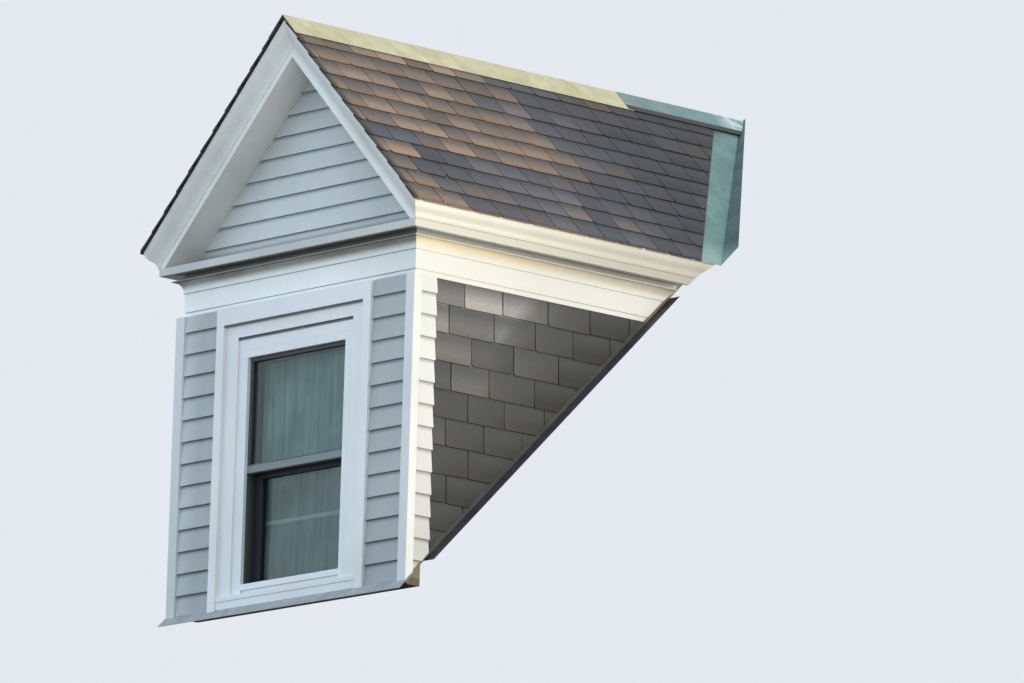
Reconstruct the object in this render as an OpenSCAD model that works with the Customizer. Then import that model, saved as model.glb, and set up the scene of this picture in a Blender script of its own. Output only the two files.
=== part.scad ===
// Gabled dormer window of a slate-roofed timber house, cut off where it meets
// the main roof. +Z is up, the front faces -Y, and X runs along the front.
// The origin is in the middle of the underside of the front sole plate.

/* [Main roof] */
// Slope of the main roof that the dormer stands on
main_pitch = 44.5; // [40:0.5:50]
// Thickness of the main roof's slating over its boards
main_slating = 25; // [18:1:32]

/* [Dormer] */
// Width over the corner posts
width = 1830; // [1700:10:2100]
// Height of the top of the siding
siding_top = 1567; // [1520:1:1700]
// Height of the frieze and its bed moulding together, up to the fascia's foot
frieze_h = 214; // [180:1:260]
// Slope of the dormer's own roof
pitch = 45.75; // [42:0.25:50]
// Height of the rafters' bearing above the front top plate
knee_h = 197; // [185:1:215]

/* [Timber] */
// Thickness of studs, plates and rafters
stud_w = 38; // [35:1:45]
// Depth of studs, plates and rafters
stud_d = 89; // [80:1:95]
// Thickness of the boarding on walls and roof
board_t = 18; // [15:1:22]
// Distance between the cheeks' studs
stud_pitch = 400; // [350:10:450]
// Distance between the rafters
rafter_pitch = 406; // [350:1:450]
// Depth of the ridge board
ridge_board_d = 150; // [120:5:200]
// Depth of the header over the window
header_d = 140; // [120:5:180]
// Width of the valley boards, measured along the depth of the dormer
valley_board_w = 260; // [240:5:300]

/* [Siding] */
// Thickness of the corner posts, in front of the boarding
post_size = 50; // [44:1:60]
// Width of the corner posts' front face
post_face = 64; // [54:1:80]
// Height of one course that shows
siding_course = 114; // [100:1:125]
// Thickness of a siding course at its lower edge
siding_butt = 42; // [38:1:46]
// Thickness of a siding course at its upper edge
siding_thin = 29; // [26:1:32]
// Width of the siding on the cheek, next to the corner post
cheek_siding_w = 115; // [80:1:160]
// Height of one course in the gable
gable_course = 104; // [90:1:120]
// Thickness of the gable's siding at the lower edge of a course
gable_siding_t = 18; // [15:1:20]

/* [Slates] */
// Height of one cheek slate that shows
cheek_course = 144; // [130:1:160]
// Length of one roof slate that shows
roof_course = 130; // [115:1:145]
// Thickness of the slating at the lower edge of a course
slate_butt = 14; // [12:1:18]
// Thickness of the slating at the upper edge of a course
slate_thin = 7; // [5:1:9]
// How far the slates reach past the crown moulding at the eaves
slate_overhang = 8; // [5:1:15]
// How far they reach past it at the gable
verge_overhang = 15; // [10:1:25]
// Width of copper left open beside the dormer's slates, at the ridge
valley_open_top = 180; // [150:5:200]
// Width of copper left open there at the eaves
valley_open_low = 136; // [110:2:170]

/* [Trim] */
// Thickness of the frieze boards
frieze_t = 22; // [18:1:26]
// Set-back of the strip along the foot of the frieze
frieze_step = 6; // [4:1:10]
// Height of that strip
frieze_strip_h = 26; // [18:1:34]
// Height of the cove on the frieze
bed_h = 64; // [56:1:68]
// Height of the shadow gap between the cove and the soffit
bed_gap = 34; // [28:1:38]
// How far the cove stands out
bed_out = 50; // [40:1:60]
// How far the fascia stands out from the frieze
cornice_out = 96; // [85:1:110]
// Height of the fascia below the crown moulding
fascia_h = 40; // [36:1:48]
// Thickness of the fascia
fascia_t = 22; // [18:1:25]
// Height of the fascia and the crown moulding together
cornice_h = 123; // [115:1:135]
// How far the crown moulding stands out from the fascia
crown_out = 60; // [50:1:68]
// Height of the flat lip along the top of the crown moulding
crown_lip = 12; // [8:1:16]
// How far the crown moulding swells and hollows from a straight slope
crown_swell = 4; // [4:0.5:8]
// Thickness of the soffit boards
soffit_t = 12; // [10:1:12]
// How far the soffit lies above the foot of the fascia
soffit_up = 10; // [8:1:11]
// Rise of the ledge at the foot of the gable
ledge_rise = 12; // [8:1:16]
// How far the gable's boards stand behind the middle of the front wall
gable_back = 16; // [10:1:18]

/* [Window] */
// Half width of the opening, between the frame's outer stops
opening_x = 373; // [330:1:380]
// Height of the lower edge of the opening
opening_low = 126; // [124:1:150]
// Height of the upper edge of the opening
opening_top = 1296; // [1250:1:1310]
// Height of the lower edge of the upper sash
meeting_z = 700; // [500:5:800]
// Height of the upper sash's bottom rail
meeting_rail_h = 44; // [42:1:55]
// Width of the upper sash's stiles inside the stops
upper_stile_w = 14; // [12:1:40]
// Height of the upper sash's top rail below the stop
upper_rail_h = 20; // [12:1:40]
// Width of the lower sash's stiles inside the stops
lower_stile_w = 53; // [40:1:60]
// Height of the lower sash's top rail
lower_rail_h = 64; // [50:1:80]
// How far the lower sash's bottom rail reaches above the lower edge of the opening
bottom_rail_up = 23; // [15:1:40]
// How far the lower sash laps behind the upper one
sash_lap = 40; // [30:1:42]
// Thickness of a sash
sash_t = 35; // [32:1:36]
// Thickness of the glass
glass_t = 4; // [3:1:6]
// How deep the glass is held in the sash
glass_held = 8; // [6:1:10]
// Thickness of the side jambs
jamb_t = 25; // [22:1:30]
// Thickness of the head jamb
head_jamb_t = 32; // [25:1:40]
// Room between the window frame and the rough opening
shim = 8; // [5:1:12]
// Width of the stops that guide the sashes
stop_w = 10; // [8:1:14]
// Thickness of the stop behind the lower sash
stop_t = 5; // [4:1:6]
// Depth between the two sashes, which holds the parting bead
bead_t = 23; // [20:1:24]
// Face of the upper sash, in front of the middle of the wall
sash_face = 64; // [62:1:66]
// Front edge of the jambs, in front of the middle of the wall
jamb_face = 84; // [82:1:90]
// Height of the frame's foot, across the bottom of the opening
foot_h = 30; // [24:1:34]
// Set-back of the plate under that foot
foot_step = 12; // [8:1:14]
// Width and thickness of the casing's flat inner edge
casing_inner = [32, 21.5];
// Width and thickness of the casing's middle board
casing_middle = [92, 33];
// Width and thickness of the casing's outer band
casing_band = [58, 54];
// Heights of the outer band and of the middle board over the window
casing_head = [90, 72];
// How far the sill reaches in front of the middle of the wall
sill_nose = 112; // [110:1:116]
// Thickness of the sill at its nose
sill_nose_t = 24; // [20:1:28]
// Height of the sill under the lower sash
sill_top = 84; // [80:1:88]
// Slope of the sill
sill_slope = 7; // [5:1:8]
// Thickness of the board under the sill
sill_board_t = 46; // [40:1:47]
// Radius of the curtain rod
rod_r = 5; // [4:0.5:6]
// Thickness of the net curtain as hung
curtain_t = 3; // [2:0.5:4]
// Gap below the net curtain
curtain_up = 32; // [20:1:60]

/* [Copper] */
// Thickness of the copper sheet
copper_t = 1.5; // [1:0.1:2]
// Width of each leg of the ridge cap, across the slope
ridge_leg = 105; // [90:5:130]
// Length of the ridge cap's front piece
ridge_cap_l = 2350; // [2200:10:2400]
// Lap of the two ridge pieces
ridge_lap = 40; // [20:5:60]
// Width of the valley sheet on the main roof at the eaves, along the depth
valley_leg = 120; // [90:5:150]
// The same width at the ridge
valley_leg_top = 40; // [30:5:60]
// Width of the valley sheet on the dormer, along the depth
valley_sheet = 250; // [240:5:300]
// Height of the sheet that stands up against the walls
upstand_h = 90; // [70:5:120]
// Width of the step flashing that lies on the main roof
step_leg = 75; // [60:5:100]
// How far the apron reaches in front of the corner posts
apron_reach = 45; // [30:5:80]
// How far the apron reaches past the corner posts on each side
apron_side = 10; // [5:1:20]

/* [Hidden] */
$fn = 32;
far = 12000;
clear = 0.3;

// Planes of the walls, as distances from the middle line of the front wall
wall_y = stud_d / 2;
board_y = wall_y + board_t;
frieze_y = board_y + frieze_t;
post_y = board_y + post_size;
fascia_y = frieze_y + cornice_out;
crown_y = fascia_y + crown_out;
// The same planes on the cheeks, as distances from the middle of the dormer
frame_x = width / 2 - post_size - board_t;
board_x = frame_x + board_t;
frieze_x = board_x + frieze_t;
fascia_x = frieze_x + cornice_out;
crown_x = fascia_x + crown_out;
inner_x = frame_x - stud_d;
// Inner edge of the corner posts, where the front's siding ends
post_in = width / 2 - post_face;
// The trim turns the corner where |x| + y has this value
mitre = frame_x - wall_y;

// Heights
cornice_z = siding_top + frieze_h;
eave_z = cornice_z + cornice_h;
soffit_z = cornice_z + soffit_up;
ledge_z = cornice_z + soffit_up + soffit_t + 4;
front_top = ledge_z;
plate_top = front_top + knee_h;

// Vertical measure of things that are thick across a slope
board_v = board_t / cos(pitch);
rafter_v = stud_d / cos(pitch);
main_drop = main_slating / cos(main_pitch);
sole_v = stud_w / cos(main_pitch);
copper_v = copper_t / cos(main_pitch);
deck_side = sin(pitch) / cos(pitch);
main_rise = sin(main_pitch) / cos(main_pitch);

// Top of the dormer's roof boards at a distance x from the middle
function deck_z(x) = eave_z + (crown_x - abs(x)) * deck_side;
// Where the dormer's boards meet the main roof's boards
function valley_y(x) = (deck_z(x) + main_drop) / main_rise - post_y;
slope_l = crown_x / cos(pitch);

// Window
jamb_in = opening_x + stop_w;
jamb_out = jamb_in + jamb_t;
head_in = opening_top + stop_w;
head_out = head_in + head_jamb_t;
rough_x = jamb_out + shim;
rough_top = head_out + shim;
header_end = rough_x + stud_w;
lower_face = sash_face - sash_t - bead_t;
lower_back = lower_face - sash_t;
sill_nose_z = sill_top - (sill_nose - lower_face) * tan(sill_slope);
sill_foot = sill_nose_z - sill_nose_t;
casing_x1 = jamb_out + casing_inner[0];
casing_x2 = casing_x1 + casing_middle[0];
casing_x3 = casing_x2 + casing_band[0];
band_foot = siding_top - casing_head[0];
middle_foot = band_foot - casing_head[1];

// Colours
timber = [0.76, 0.62, 0.43];
boarding = [0.70, 0.57, 0.40];
trim = [0.91, 0.93, 0.94];
siding = [0.75, 0.78, 0.81];
cheek_slate = [0.43, 0.42, 0.40];
roof_slate = [0.27, 0.26, 0.29];
copper = [0.50, 0.67, 0.63];
glass = [0.55, 0.66, 0.66];

// A mirrored copy for the other side
module right() { mirror([1, 0, 0]) children(); }
module both() { children(); right() children(); }

// Extrudes a (Y, Z) outline along X
module along_x(x0, x1) {
    translate([x0, 0, 0]) rotate([90, 0, 90]) linear_extrude(x1 - x0) children();
}
// Extrudes an (X, Z) outline along Y
module along_y(y0, y1) {
    translate([0, y1, 0]) rotate([90, 0, 0]) linear_extrude(y1 - y0) children();
}
// A box between two corners
module box(a, b) { translate(a) cube(b - a); }

// Everything below the main roof's slates, or below a plane parallel to them
module below_main(lift = 0) {
    translate([0, -post_y, lift]) rotate([main_pitch, 0, 0])
        translate([-far / 2, -far / 2, -far]) cube(far);
}
module above_slates() {
    difference() {
        children();
        below_main(copper_v);
    }
}
module above_deck(lift = 0) {
    difference() {
        children();
        below_main(lift - main_drop);
    }
}
// The layer between two planes parallel to the main roof
module main_layer(low, high) {
    difference() {
        below_main(high);
        below_main(low);
    }
}
// The space behind the left-hand mitre
module behind_mitre() {
    rotate([0, 0, 135]) translate([mitre / sqrt(2), -far / 2, -far / 2]) cube(far);
}
// The left-hand slope: X runs up it from the crown's edge, Z stands out of it
module left_slope() { translate([-crown_x, 0, eave_z]) rotate([0, -pitch, 0]) children(); }

// Lapped courses: an outline with its back on x = 0 and its face towards +x
module courses(count, course, butt, thin) {
    polygon(concat(
        [[0, count * course], [0, 0]],
        [for (i = [0:count - 1]) each [[butt, i * course], [thin, (i + 1) * course]]]
    ));
}

// Front wall frame

module front_plates() color(timber) {
    box([-frame_x, -wall_y, 0], [frame_x, wall_y, stud_w]);
    box([-frame_x, -wall_y, front_top - stud_w], [frame_x, wall_y, front_top]);
}

module front_studs() color(timber) {
    both() {
        box([frame_x - stud_w, -wall_y, stud_w], [frame_x, wall_y, front_top - stud_w]);
        box([rough_x, -wall_y, stud_w], [header_end, wall_y, rough_top]);
    }
    for (x = [-header_end, -stud_w / 2, header_end - stud_w])
        box([x, -wall_y, rough_top + header_d], [x + stud_w, wall_y, front_top - stud_w]);
}

module window_header() color(timber)
    box([-header_end, -wall_y, rough_top], [header_end, wall_y, rough_top + header_d]);

// Cheek frames, which follow the main roof

module cheek_sole_plates() color(timber) both() intersection() {
    main_layer(-main_drop, sole_v - main_drop);
    box([inner_x, wall_y, 0], [frame_x, far / 2, plate_top - stud_w]);
}

module cheek_studs() color(timber) above_deck(sole_v) both() {
    for (y = [wall_y:stud_pitch:valley_y(fascia_x)])
        if ((y + stud_w + post_y) * main_rise - main_drop + sole_v < plate_top - 2 * stud_w)
            box([inner_x, y, 0], [frame_x, y + stud_w, plate_top - stud_w]);
}

module cheek_top_plates() color(timber) above_deck() both()
    box([inner_x, wall_y, plate_top - stud_w], [frame_x, far / 3, plate_top]);

// Gable and roof frame

gable_y = gable_back + board_t;

module under_deck_outline(low, half) {
    polygon([[-half, low], [-half, deck_z(half) - board_v], [0, deck_z(0) - board_v],
        [half, deck_z(half) - board_v], [half, low]]);
}

module gable_frame() color(timber) along_y(gable_y, gable_y + stud_w) {
    translate([-inner_x, front_top]) square([2 * inner_x, stud_w]);
    intersection() {
        under_deck_outline(front_top, inner_x);
        for (x = [-inner_x / 2, 0, inner_x / 2])
            translate([x - stud_w / 2, front_top]) square([stud_w, far / 4]);
    }
}

module rafter_outline() {
    tail = fascia_x - fascia_t;
    top = [for (x = [stud_w / 2, tail]) [x, deck_z(x) - board_v]];
    difference() {
        polygon([top[0], top[1], top[1] - [0, rafter_v], top[0] - [0, rafter_v]]);
        square([frame_x, plate_top]);
    }
}

module rafters() color(timber) difference() {
    above_deck() both()
        for (y = [gable_y + stud_w:rafter_pitch:valley_y(0) - 2 * rafter_v])
            along_y(y, y + stud_w) rafter_outline();
    valley_board_solids();
}

module ridge_board() color(timber) above_deck() along_y(gable_y + stud_w, valley_y(0)) {
    top = deck_z(stud_w / 2) - board_v;
    polygon([[-stud_w / 2, top], [0, deck_z(0) - board_v], [stud_w / 2, top],
        [stud_w / 2, top - ridge_board_d], [-stud_w / 2, top - ridge_board_d]]);
}

// A strip in plan along the left-hand valley, from x0 out to x1; near and away are
// its widths on the dormer's side and on the main roof's, at x0 and at x1
module valley_strip(x0, x1, near, away) {
    linear_extrude(far / 2) polygon([
        [-x0, valley_y(x0) - near[0]], [-x0, valley_y(x0) + away[0]],
        [-x1, valley_y(x1) + away[1]], [-x1, valley_y(x1) - near[1]]]);
}

module valley_board_solids() both() intersection() {
    main_layer(-main_drop, sole_v - main_drop);
    valley_strip(stud_w / 2, inner_x - shim, [valley_board_w, valley_board_w], [0, 0]);
    along_y(0, far / 2) under_deck_outline(0, fascia_x);
}
module valley_boards() color(timber) valley_board_solids();

// Boarding

module front_boards() color(boarding) difference() {
    box([-board_x, -board_y, 0], [board_x, -wall_y, front_top]);
    box([-rough_x, -board_y - 1, stud_w], [rough_x, 0, rough_top]);
}

module cheek_boards() color(boarding) above_deck() both() along_x(frame_x, board_x) {
    rafter_foot = deck_z(board_x) - board_v - rafter_v - shim;
    polygon([[-wall_y, 0], [-wall_y, front_top], [gable_y, front_top],
        [gable_y, rafter_foot], [far / 3, rafter_foot], [far / 3, 0]]);
}

module gable_boards() color(boarding)
    along_y(gable_back, gable_y) under_deck_outline(front_top, fascia_x - fascia_t);

module roof_boards_right() color(boarding) above_deck() along_y(-fascia_y, valley_y(0)) {
    polygon([[0, deck_z(0)], [0, deck_z(0) - board_v],
        [fascia_x, deck_z(fascia_x) - board_v], [fascia_x, deck_z(fascia_x)]]);
}
module roof_boards_left() right() roof_boards_right();

// Siding and cheek slates

// Lapped courses on a face that looks towards -Y, from x0 to x1
module lapped_front(x0, x1, y, foot, top, course, butt, thin) {
    count = ceil((top - foot) / course);
    intersection() {
        along_x(x0, x1) translate([y, foot]) mirror([1, 0]) courses(count, course, butt, thin);
        box([x0, y - butt, foot], [x1, y, top]);
    }
}
// The same on the right-hand cheek, from y0 to y1
module lapped_cheek(y0, y1, x, course, butt, thin) {
    count = ceil(siding_top / course);
    intersection() {
        along_y(y0, y1) translate([x, 0]) courses(count, course, butt, thin);
        box([x, y0, 0], [x + butt, y1, siding_top]);
    }
}

module front_siding() color(siding) above_slates() both()
    lapped_front(casing_x3, post_in, -board_y - copper_t, 0, siding_top,
        siding_course, siding_butt, siding_thin);

module cheek_siding() color(siding) above_slates() both()
    lapped_cheek(-board_y, cheek_siding_w - board_y, board_x,
        siding_course, siding_butt, siding_thin);

module corner_posts() color(trim) above_slates() both()
    box([post_in, -post_y, 0], [width / 2, -board_y, siding_top]);

module cheek_slates_right() color(cheek_slate) above_slates()
    lapped_cheek(cheek_siding_w - board_y, far / 4, board_x + copper_t,
        cheek_course, slate_butt, slate_thin);
module cheek_slates_left() right() cheek_slates_right();

// Underside of the rake's soffit, measured from the roof boards' top
rake_low = -(cornice_h + crown_out * deck_side) * cos(pitch);

// The gable's siding fills the triangle inside the rake's soffit
module tympanum_siding() color(siding) difference() {
    foot = cornice_z + fascia_h;
    tip = deck_z(0) + rake_low / cos(pitch);
    half = (tip - foot) / deck_side;
    intersection() {
        lapped_front(-half, half, gable_back, foot, tip,
            gable_course, gable_siding_t, gable_siding_t / 3);
        along_y(-wall_y, gable_back) polygon([[-half, foot], [0, tip], [half, foot]]);
    }
    ledge_space();
}

// Trim

// Points of a quarter turn about c, from angle a to angle b
function arc(c, r, a, b, n = 6) =
    [for (i = [0:n]) c + r * [cos(a + (b - a) * i / n), sin(a + (b - a) * i / n)]];

// Frieze with its cove and the shadow gap over it, as (out from the frieze's face, up)
function frieze_outline() = let (top = soffit_z - bed_gap, low = top - bed_h) concat(
    [[-frieze_t, siding_top], [-frieze_step, siding_top],
        [-frieze_step, siding_top + frieze_strip_h], [0, siding_top + frieze_strip_h],
        [0, low], [frieze_step, low]],
    [for (p = arc([1, 0], 1, 180, 90))
        [frieze_step + p[0] * (bed_out - 2 * frieze_step),
            low + frieze_step + p[1] * (bed_h - 2 * frieze_step)]],
    [[bed_out, top - frieze_step], [bed_out, top], [0, top], [0, soffit_z],
        [-frieze_t, soffit_z]]
);

module front_frieze() color(trim) difference() {
    along_x(-crown_x, crown_x)
        polygon([for (p = frieze_outline()) [-frieze_y - p[0], p[1]]]);
    both() behind_mitre();
}

module left_frieze() color(trim) above_slates() intersection() {
    along_y(-crown_y, far / 4) polygon([for (p = frieze_outline()) [-frieze_x - p[0], p[1]]]);
    behind_mitre();
}
module right_frieze() right() left_frieze();

// Face of fascia and crown moulding, as (out from the fascia, up from its foot)
crown_low = [fascia_t / 4, fascia_h + fascia_t / 4];
crown_high = [crown_out - 3, cornice_h - crown_lip];
function cyma(a, b, n = 12) = let (d = b - a, out = [d[1], -d[0]] / norm(d))
    [for (i = [0:n]) a + d * i / n - crown_swell * sin(360 * i / n) * out];
function crown_face() = concat(
    [[0, 0], [0, fascia_h], [crown_low[0], fascia_h]],
    cyma(crown_low, crown_high),
    [[crown_out, cornice_h - crown_lip], [crown_out, cornice_h]]
);

function eave_outline() = let (top = cornice_h + crown_out * deck_side) concat(
    crown_face(),
    [[0, top], [0, top - board_v], [-fascia_t, top - board_v + fascia_t * deck_side],
        [-fascia_t, soffit_up + soffit_t], [board_y - fascia_y, soffit_up + soffit_t],
        [board_y - fascia_y, soffit_up], [-fascia_t, soffit_up], [-fascia_t, 0]]
);

module left_cornice() color(trim) above_slates() intersection() {
    along_y(-crown_y, far / 4)
        polygon([for (p = eave_outline()) [-fascia_x - p[0], cornice_z + p[1]]]);
    behind_mitre();
}
module right_cornice() right() left_cornice();

// Everything below the top of the ledge
module ledge_space() {
    along_x(-far / 4, far / 4) polygon([[-fascia_y, 0], [-fascia_y, cornice_z + fascia_h],
        [gable_back, cornice_z + fascia_h + ledge_rise], [gable_back, 0]]);
}

module front_cornice() color(trim) {
    ledge_end = fascia_x - fascia_t;
    difference() {
        along_x(-crown_x, crown_x) polygon([
            [-fascia_y, cornice_z], [-fascia_y, cornice_z + fascia_h],
            [-fascia_y + fascia_t, cornice_z + fascia_h],
            [-fascia_y + fascia_t, soffit_z + soffit_t], [-board_y, soffit_z + soffit_t],
            [-board_y, soffit_z], [-fascia_y + fascia_t, soffit_z],
            [-fascia_y + fascia_t, cornice_z]]);
        both() behind_mitre();
    }
    intersection() {
        ledge_space();
        box([1 - ledge_end, fascia_t - fascia_y - 1, ledge_z],
            [ledge_end - 1, gable_back, plate_top]);
    }
}

// Rake: the eave's face, drawn out so that both meet in an upright mitre
function rake_point(p) = [-fascia_y - p[0],
    -(cornice_h - p[1] + (crown_out - p[0]) * deck_side) * cos(pitch)];

module rake_cornice() {
    difference() {
        left_slope() along_x(-crown_x, slope_l + crown_x) polygon(concat(
            [for (p = crown_face()) rake_point(p)],
            [[-fascia_y, 0], [-fascia_y, -board_t], [fascia_t - fascia_y, -board_t],
                [fascia_t - fascia_y, rake_low]]));
        behind_mitre();
    }
    difference() {
        left_slope() along_x(-crown_x, slope_l + crown_x) polygon([
            [fascia_t - fascia_y, rake_low], [gable_back, rake_low],
            [gable_back, rake_low + soffit_t], [fascia_t - fascia_y, rake_low + soffit_t]]);
        box([-far, -far, 0], [fascia_t - fascia_x, far, far]);
    }
}

module left_rake_cornice() color(trim) difference() {
    rake_cornice();
    ledge_space();
    box([0, -far, 0], [far, far, far]);
}
module right_rake_cornice() right() left_rake_cornice();

// Roof covering

module roof_slates_left() color(roof_slate) intersection() {
    low_x = crown_x + slate_overhang;
    front = -crown_y - verge_overhang;
    count = ceil((slope_l + slate_overhang) / roof_course);
    left_slope() along_y(front, far / 4) translate([-slate_overhang, copper_t]) polygon(concat(
        [[0, 0]],
        [for (i = [0:count - 1]) each [[i * roof_course, slate_butt],
            [(i + 1) * roof_course, slate_thin]]],
        [[count * roof_course, 0]]
    ));
    linear_extrude(far / 2) polygon([[0, front], [0, valley_y(0) - valley_open_top],
        [-low_x, valley_y(low_x) - valley_open_low], [-low_x, front]]);
}
module roof_slates_right() right() roof_slates_left();

// A bent sheet over the ridge, bedded at a height over the roof boards
module ridge_sheet(y0, y1, bed) {
    v0 = bed / cos(pitch);
    v1 = (bed + copper_t) / cos(pitch);
    above_deck(copper_v) along_y(y0, y1) polygon([
        [-ridge_leg, deck_z(ridge_leg) + v0], [0, deck_z(0) + v0],
        [ridge_leg, deck_z(ridge_leg) + v0], [ridge_leg, deck_z(ridge_leg) + v1],
        [0, deck_z(0) + v1], [-ridge_leg, deck_z(ridge_leg) + v1]]);
}
ridge_front = -crown_y - verge_overhang;
ridge_bed = copper_t + slate_butt;

module front_ridge_cap() color(copper)
    ridge_sheet(ridge_front, ridge_front + ridge_cap_l, ridge_bed);
module back_ridge_cap() color(copper)
    ridge_sheet(ridge_front + ridge_cap_l - ridge_lap, valley_y(0) + valley_leg_top,
        ridge_bed + copper_t);

module left_valley() color(copper) {
    low_x = crown_x + slate_overhang;
    intersection() {
        left_slope() box([-far / 4, 0, 0], [far / 4, far / 3, copper_t]);
        valley_strip(0, low_x, [valley_sheet, valley_sheet], [0, 0]);
    }
    intersection() {
        main_layer(-main_drop, copper_v - main_drop);
        valley_strip(0, low_x, [0, 0], [valley_leg_top, valley_leg]);
    }
}
module right_valley() right() left_valley();

module apron_flashing() color(copper) {
    end = width / 2 + apron_side;
    intersection() {
        main_layer(0, copper_v);
        box([-end, -post_y - apron_reach, -far / 4], [end, -board_y, far / 4]);
    }
    both() intersection() {
        main_layer(0, upstand_h);
        box([casing_x3, -board_y - copper_t, 0], [post_in, -board_y, siding_top]);
    }
}

module step_flashings() color(copper) both() {
    y0 = cheek_siding_w - board_y;
    y1 = (soffit_z - main_drop) / main_rise - post_y;
    intersection() {
        main_layer(-main_drop, upstand_h);
        box([board_x, y0, 0], [board_x + copper_t, y1, siding_top]);
    }
    intersection() {
        main_layer(-main_drop, copper_v - main_drop);
        box([board_x, y0, 0], [board_x + step_leg, y1, far / 4]);
    }
}

// Window

sill_surface = [[wall_y, sill_top], [-lower_face, sill_top], [-sill_nose, sill_nose_z]];

module sill_outline() {
    polygon(concat([[wall_y, stud_w]], sill_surface,
        [[-sill_nose, sill_foot], [-board_y, sill_foot], [-board_y, stud_w]]));
}

module sill_solid() {
    along_x(-jamb_out, jamb_out) sill_outline();
    intersection() {
        along_x(-casing_x2, casing_x2) sill_outline();
        box([-casing_x2, -sill_nose, 0], [casing_x2, -board_y, far]);
    }
}

module window_sill() color(trim) difference() {
    sill_solid();
    intersection() {
        below_main(copper_v);
        box([-far / 4, -far / 4, -far / 4], [far / 4, -board_y, far / 4]);
    }
}

// An outline that is open at the foot: a band round the window
module band(inner_x, outer_x, inner_z, outer_z) {
    difference() {
        translate([-outer_x, 0]) square([2 * outer_x, outer_z]);
        translate([-inner_x, -1]) square([2 * inner_x, inner_z + 1]);
    }
}

module window_frame() color(trim) difference() {
    union() {
        along_y(-jamb_face, wall_y) band(jamb_in, jamb_out, head_in, head_out);
        for (y = [[-jamb_face, -sash_face - clear],
                [sash_t - sash_face + clear, -lower_face - clear],
                [-lower_back + clear, -lower_back + clear + stop_t]])
            along_y(y[0], y[1]) band(opening_x, jamb_in + 1, opening_top, head_in + 1);
        box([-jamb_in - 1, -jamb_face, opening_low - foot_h],
            [jamb_in + 1, -sash_face - clear, opening_low]);
        box([-jamb_in - 1, foot_step - jamb_face, 0],
            [jamb_in + 1, -sash_face - clear, opening_low - foot_h + 1]);
    }
    along_x(-far / 4, far / 4)
        polygon(concat([[wall_y, -far / 4]], sill_surface, [[-sill_nose, -far / 4]]));
}

// One board of the casing: from x0 to x1 beside the window, from z0 to z1 over it
module casing_board(x0, x1, z0, z1, thickness) {
    along_y(-board_y - thickness, -board_y) band(x0, x1, z0, z1);
}

module window_casing() color(trim) above_slates() difference() {
    union() {
        casing_board(jamb_out, casing_x1, head_out, middle_foot, casing_inner[1]);
        casing_board(casing_x1, casing_x2, middle_foot, band_foot, casing_middle[1]);
        casing_board(casing_x2, casing_x3, band_foot, siding_top, casing_band[1]);
        box([-casing_x2, -board_y - sill_board_t, 0], [casing_x2, -board_y, sill_foot]);
    }
    sill_solid();
}

// A sash between two heights, grooved for its pane; half is half the width of its glass
module sash(face, half, z, glass_z) {
    difference() {
        box([clear - jamb_in, -face, z[0]], [jamb_in - clear, sash_t - face, z[1]]);
        box([-half, -far, glass_z[0]], [half, far, glass_z[1]]);
        pane(face, half, glass_z);
    }
}
module pane(face, half, glass_z) {
    y = -face + sash_t / 2;
    box([-half - glass_held, y - glass_t / 2, glass_z[0] - glass_held],
        [half + glass_held, y + glass_t / 2, glass_z[1] + glass_held]);
}
upper_half = opening_x - upper_stile_w;
upper_z = [meeting_z, head_in - clear];
upper_glass = [meeting_z + meeting_rail_h, opening_top - upper_rail_h];
lower_half = opening_x - lower_stile_w;
lower_z = [sill_top + clear, meeting_z + sash_lap];
lower_glass = [opening_low + bottom_rail_up, meeting_z + sash_lap - lower_rail_h];

module upper_sash() color(trim) sash(sash_face, upper_half, upper_z, upper_glass);
module lower_sash() color(trim) {
    sash(lower_face, lower_half, lower_z, lower_glass);
    box([clear - opening_x, clear - lower_face - bead_t, meeting_z],
        [opening_x - clear, 1 - lower_face, lower_z[1]]);
}
module window_panes() color(glass) {
    pane(sash_face, upper_half, upper_glass);
    pane(lower_face, lower_half, lower_glass);
}

curtain_y = 2 * clear - lower_back + stop_t + rod_r;
rod_z = head_in - 4 * rod_r;

module curtain_rod() color("white") translate([-jamb_in, curtain_y, rod_z]) rotate([0, 90, 0])
    cylinder(r = rod_r, h = 2 * jamb_in);

module net_curtain() color([0.80, 0.84, 0.80]) box(
    [-opening_x, curtain_y - curtain_t / 2, sill_top + curtain_up],
    [opening_x, curtain_y + curtain_t / 2, rod_z - rod_r - clear]);

front_plates();
front_studs();
window_header();
cheek_sole_plates();
cheek_studs();
cheek_top_plates();
gable_frame();
rafters();
ridge_board();
valley_boards();
front_boards();
cheek_boards();
gable_boards();
roof_boards_left();
roof_boards_right();
front_siding();
cheek_siding();
tympanum_siding();
corner_posts();
cheek_slates_left();
cheek_slates_right();
front_frieze();
left_frieze();
right_frieze();
front_cornice();
left_cornice();
right_cornice();
left_rake_cornice();
right_rake_cornice();
roof_slates_left();
roof_slates_right();
front_ridge_cap();
back_ridge_cap();
left_valley();
right_valley();
apron_flashing();
step_flashings();
window_frame();
window_sill();
window_casing();
upper_sash();
lower_sash();
window_panes();
net_curtain();
curtain_rod();
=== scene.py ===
import math
import random

import bmesh
import bpy
from mathutils import Matrix, Vector


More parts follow.
